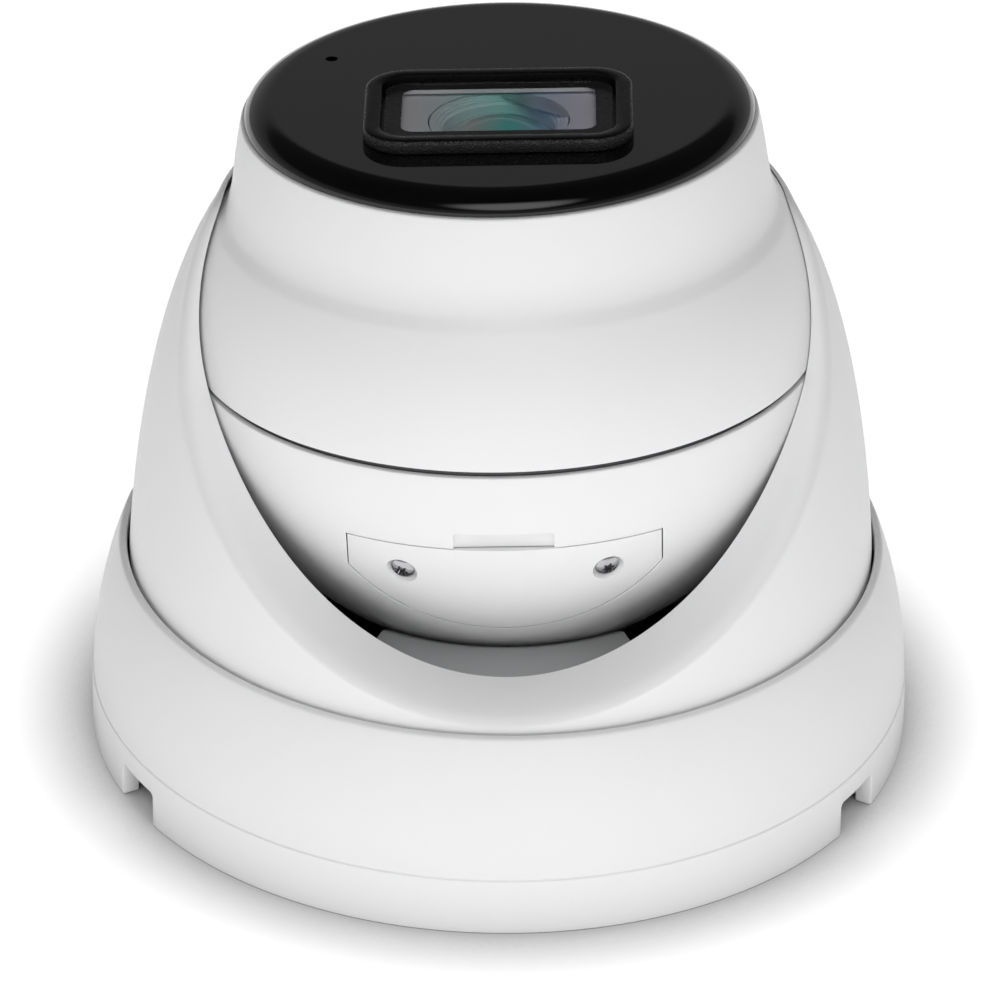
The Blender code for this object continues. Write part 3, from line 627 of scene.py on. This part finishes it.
def make_front_shell():
    """White shell: neck under the black panel, a soft concave shoulder, then the sphere to the groove."""
    neck = [(37.1, NECK_TOP), (37.4, 34.2), (37.75, 32.4), (38.15, 29.9), (38.5, 27.4), (38.75, 25.6)]
    shoulder = [(39.0, 24.4), (39.27, 23.4), (39.6, 22.4), (40.0, 21.5)]
    dome = arc_points(20.5, SEAM_HIGH, 22)
    inner = arc_points(2.1, 22.3, 10, SHELL_INNER)
    points = [*neck, *shoulder, *dome, (44.9, SEAM_HIGH), (44.9, 2.1), *inner, (35.3, 24.5),
              (35.3, NECK_TOP)]
    radii = [0.35] + [0.0] * (len(neck) + len(shoulder) + len(dome) - 2) + [0.22] + [0.0] * (len(inner) + 4)
    shell = turned("front_shell_skin", fillet(points, radii), BALL)
    done(shell, "ball", ["front_shell"], PAINT)


def hatch_outline(grow):
    half, top = HATCH_HALF_WIDTH + grow, HATCH_TOP + grow
    side_end, bottom = HATCH_SIDE_END - grow * 0.3, HATCH_BOTTOM - grow
    sagitta = side_end - bottom
    arc_radius = (half ** 2 + sagitta ** 2) / (2 * sagitta)
    sweep = math.asin(half / arc_radius)
    points = [(half, top), (-half, top)]
    for step in range(41):
        angle = -sweep + 2 * sweep * step / 40
        points.append((arc_radius * math.sin(angle), bottom + arc_radius - arc_radius * math.cos(angle)))
    return points


def front_prism(name, outline, near=-52.0, far=-20.0):
    """A prism along the ball's Y, on the hatch's side; the outline is (x, height)."""
    return loft(name, [[(x, y, z) for x, z in outline] for y in (near, far)], BALL, caps=True)


def ball_solid(name, radius):
    arc = arc_points(radius * 0.999, -radius * 0.999, 60, radius)
    return turned(name, [(0.0, radius + 0.01), *arc, (0.0, -radius - 0.01)], BALL, 128)


def radial(azimuth, height):
    """Place that turns +Z to the ball's outward direction at an azimuth and a height."""
    angle = math.radians(azimuth)
    rho = math.sqrt(BALL_RADIUS ** 2 - height ** 2)
    direction = Vector((rho * math.sin(angle), -rho * math.cos(angle), height))
    return BALL @ direction.to_track_quat("Z", "Y").to_matrix().to_4x4()


def make_rear_shell():
    outer = arc_points(SEAM_LOW, -40.85, 44)
    inner = arc_points(-36.6, -1.3, 24, SHELL_INNER)
    points = [*outer, (outer[-1][0], -37.5), *inner, (44.9, -1.3), (44.9, SEAM_LOW)]
    radii = [0.22] + [0.0] * (len(points) - 1)
    shell = turned("rear_shell_skin", fillet(points, radii), BALL)
    pocket = combine(front_prism("pocket", hatch_outline(0.0)), [ball_solid("core", 43.2)])
    window = front_prism("bay_window", [(10.0, -14.5), (-10.0, -14.5), (-10.0, -24.0), (10.0, -24.0)])
    tab_height = TAB_TOP - HATCH_TOP + 1.0
    tab_outline = rounded_rectangle((2 * TAB_HALF_WIDTH, tab_height), 0.5, (0, TAB_TOP - tab_height / 2), 3)
    tab = front_prism("tab", tab_outline, -48.0, -43.0)
    tools, lugs = [pocket, window, tab], []
    for side in (-1, 1):
        tools.append(rod("shaft", 1.3, 41.0, 46.5, radial(side * HATCH_SCREW_AZIMUTH, HATCH_SCREW_HEIGHT)))
    for azimuth in SHELL_SCREW_AZIMUTHS:
        angle = math.radians(azimuth)
        spot = Matrix.Translation((SHELL_SCREW_CIRCLE * math.sin(angle),
                                   -SHELL_SCREW_CIRCLE * math.cos(angle), 0.0))
        lugs.append(rod("lug", 4.6, -19.3, -2.0, BALL @ spot))
        tools.append(rod("counterbore", 3.1, -40.0, -14.0, BALL @ spot))
        tools.append(rod("thread", 1.5, -16.0, 0.0, BALL @ spot))
    combine(shell, lugs, "UNION")
    combine(shell, tools)
    ease(shell, 0.12, 50.0)
    done(shell, "ball", ["rear_shell"], PAINT)


def make_hatch():
    band = arc_points(-7.0, -34.0, 40) + arc_points(-34.0, -7.0, 20, 44.3)
    cover = turned("hatch_lid", band, BALL)
    combine(cover, [front_prism("edge", hatch_outline(-0.18))], "INTERSECT")
    dimples = []
    for side in (-1, 1):
        place = radial(side * HATCH_SCREW_AZIMUTH, HATCH_SCREW_HEIGHT)
        dimples.append(turned("dimple", [(0.0, 44.95), (1.95, 44.95), (2.75, 46.6), (0.0, 46.6)], place, 40))
        dimples.append(rod("shaft", 1.3, 41.0, 46.5, place))
    combine(cover, dimples)
    ease(cover, 0.14, 40.0)
    done(cover, "ball", ["hatch_cover"], PAINT)
    for side, label in ((-1, "left"), (1, "right")):
        make_hatch_screw(label, radial(side * HATCH_SCREW_AZIMUTH, HATCH_SCREW_HEIGHT), 15.0 * side)


def make_hatch_screw(label, place, turn):
    """A small pan-head screw with a six-lobed recess."""
    head = [(0.0, 45.85), (0.7, 45.83), (1.2, 45.73), (1.6, 45.55), (1.8, 45.37), (1.82, 45.22),
            (1.0, 45.2), (1.0, 38.5), (0.0, 38.5)]
    screw = turned(f"hatch_fixing_{label}", head, place, 40)
    lobes = []
    for step in range(48):
        angle = math.tau * step / 48
        radius = 0.84 + 0.2 * math.cos(6 * angle)
        lobes.append((radius * math.cos(angle), radius * math.sin(angle)))
    drive = loft("drive", [[(x * k, y * k, z) for x, y in lobes] for k, z in ((0.8, 44.95), (1.0, 46.0))],
                 place @ Matrix.Rotation(math.radians(turn), 4, "Z"), caps=True)
    combine(screw, [drive])
    ease(screw, 0.04, 50.0, 1)
    done(screw, "ball", [f"hatch_screw_{label}"], SCREW_STEEL)


def make_seal():
    section = fillet([(44.6, 1.8), (44.6, -1.0), (42.1, -1.0), (42.1, 1.8)], [0.5, 0.5, 0.3, 0.3])
    done(turned("groove_seal", section, BALL), "ball", ["shell_seal"], SEAL)


# ---------------------------------------------------------------- panel, window and lens

def make_panel():
    turns = [math.radians(5.0 * step) for step in range(19)]
    edge = [(PANEL_RADIUS - PANEL_ROUND * (1 - math.sin(turn)),
             PANEL_FOOT + (PANEL_TOP - PANEL_FOOT) * math.cos(turn)) for turn in turns]
    panel = turned("face_panel", [(0.0, PANEL_TOP), (32.3, PANEL_TOP), *edge, (36.4, PANEL_FOOT - 0.2),
                                  (33.4, PANEL_FOOT - 0.2), (33.4, 33.9), (31.6, 33.9),
                                  (31.6, PANEL_FOOT), (0.0, PANEL_FOOT)], BALL)
    hole = rounded_rectangle((36.4, 24.4), BEZEL_CORNER - 0.9, (0, WINDOW_Y))
    cutter = loft("window_hole", [[(x, y, z) for x, y in hole] for z in (34.0, 40.0)], BALL, caps=True)
    pin = rod("pin_hole", 0.9, 34.0, 40.0, BALL @ Matrix.Translation((*PIN_HOLE, 0.0)))
    combine(panel, [cutter, pin])
    done(panel, "ball", ["front_panel"], GLOSS)


def make_bezel():
    """The window's raised frame: satin rim, textured side and a pale grey foot under the glass."""
    centre = (0.0, WINDOW_Y)
    rim = (BEZEL_SIZE[0] - GLASS_SIZE[0]) / 2
    section = [(-rim, 39.1), (-rim, BEZEL_TOP - 0.3), (-rim + 0.1, BEZEL_TOP - 0.08),
               (-rim + 0.3, BEZEL_TOP), (-0.6, BEZEL_TOP), (-0.28, BEZEL_TOP - 0.09),
               (-0.08, BEZEL_TOP - 0.3), (0.0, BEZEL_TOP - 0.6), (0.0, PANEL_TOP + 0.4),
               (-0.1, PANEL_TOP + 0.12), (-1.2, PANEL_TOP + 0.12), (-1.2, 35.5), (-2.8, 35.5),
               (-2.8, 38.5), (-4.2, 38.5), (-4.2, 39.1)]
    bezel = framed("window_frame", section, BEZEL_SIZE, BEZEL_CORNER, centre)
    bezel.data.materials.append(SATIN_BLACK)
    bezel.data.materials.append(TEXTURE)
    bezel.data.materials.append(LENS_GREY)
    height = BALL.inverted()
    for face in bezel.data.polygons:
        middle = height @ (face.center / MM)
        outward = (height.to_3x3() @ face.normal).z
        if middle.z < BEZEL_TOP - 0.1 and outward < 0.8:
            if abs(middle.x) > GLASS_SIZE[0] / 2 + 0.6 or abs(middle.y - WINDOW_Y) > GLASS_SIZE[1] / 2 + 0.6:
                face.material_index = 1
            elif middle.z < 39.05:
                face.material_index = 2
    done(bezel, "ball", ["window_bezel"])


def make_window():
    centre = (0.0, WINDOW_Y)
    glass_size = (GLASS_SIZE[0] - 0.6, GLASS_SIZE[1] - 0.6)
    pane = slab("window_pane", rounded_rectangle(glass_size, GLASS_CORNER - 0.3, centre), 39.4, GLASS_TOP)
    done(pane, "ball", ["window_glass"], GLASS)
    mask = slab("printed_border", rounded_rectangle(glass_size, GLASS_CORNER - 0.3, centre), 39.15, 39.35,
                edge=0.02)
    sight = rounded_rectangle(SIGHT_SIZE, SIGHT_CORNER, (0.0, SIGHT_Y))
    combine(mask, [loft("sight", [[(x, y, z) for x, y in sight] for z in (38.0, 41.0)], BALL, caps=True)])
    done(mask, "ball", (), SATIN_BLACK)


def lens_coating():
    """Coated front lens: its residual reflection runs from pale grey to teal and violet across it."""
    shade = Shade("lens_coating")
    split = shade.node("ShaderNodeSeparateXYZ")
    shade.link(shade.place, split.inputs["Vector"])
    across = shade.spread(split.outputs["X"], 0.0, 1.0, -0.010, 0.010)
    shade.paint(across, (0.0, (0.62, 0.60, 0.64)), (0.28, (0.42, 0.52, 0.51)), (0.5, (0.10, 0.60, 0.56)),
                (0.72, (0.20, 0.48, 0.60)), (1.0, (0.56, 0.54, 0.70)))
    shade.rough(shade.noise(200.0), 0.05, 0.10)
    return shade.set(Coat_Weight=0.8, Coat_Roughness=0.03, Specular_IOR_Level=0.8).material


def make_lens():
    """The lens behind the window: stepped barrel, coated front element and a grey surround."""
    place = BALL @ Matrix.Translation((0.0, LENS_Y, 0.0))
    barrel = [(9.9, LENS_TOP), (9.9, LENS_TOP - 8.3), (8.2, LENS_TOP - 8.3), (8.2, 17.6), (5.3, 17.6),
              (5.3, 28.0), (8.0, 31.4), (8.0, LENS_TOP - 1.1), (8.35, LENS_TOP - 0.8),
              (8.35, LENS_TOP - 0.5), (8.8, LENS_TOP - 0.5), (8.8, LENS_TOP - 0.25), (9.2, LENS_TOP - 0.25),
              (9.2, LENS_TOP)]
    radii = [0.12, 0.3, 0.1, 0.3, 0.2, 0.1, 0.1] + [0.06] * 7
    body = turned("lens_body", fillet(barrel, radii), place, 96)
    done(body, "ball", ["lens_barrel"], GREY_PAINTED_REFLECTION)
    dome = [(r, h + LENS_TOP - 12.2) for r, h in arc_points(12.39, 9.6, 16, 12.4)]
    lens = turned("front_lens", [(0.0, LENS_TOP + 0.2), *dome, (7.7, LENS_TOP - 3.1), (6.0, LENS_TOP - 4.5),
                                 (0.0, LENS_TOP - 4.5)], place, 96)
    done(lens, "ball", ["lens_element_front"], lens_coating())
    outline = rounded_rectangle((32.2, 20.6), 3.6, (0.0, WINDOW_Y))
    surround = slab("lens_surround", outline, LENS_TOP - 0.4, LENS_TOP + 0.1)
    combine(surround, [rod("bore", 10.1, 34.0, 38.0, place, 96)])
    done(surround, "ball", (), GREY_PAINTED_REFLECTION)


# ---------------------------------------------------------------- CAD nodes that stay

def finish_cad_nodes():
    """The inner pieces keep their CAD shape and get their materials."""
    by_slot = {"white_paint": PAINT, "plate_metal": PLATE, "black_gloss": GLOSS, "black_plastic": DARK,
               "grey_plastic": GREY, "nylon": NYLON, "rubber": RUBBER, "steel": STEEL,
               "aluminium": ALUMINIUM, "circuit_board": BOARD, "glass": GLASS, "emitter": LED}
    slots = {part["node"]: part["material_slot"] for part in frame["record"]["subparts"]}
    for name, node in frame["nodes"].items():
        if not node.hide_render:
            node.data.materials.clear()
            node.data.materials.append(by_slot[slots[name]])


make_camera()
make_stage()
make_trim_ring()
make_cover()
make_pads()
make_front_shell()
make_rear_shell()
make_hatch()
make_seal()
make_panel()
make_bezel()
make_window()
make_lens()
finish_cad_nodes()
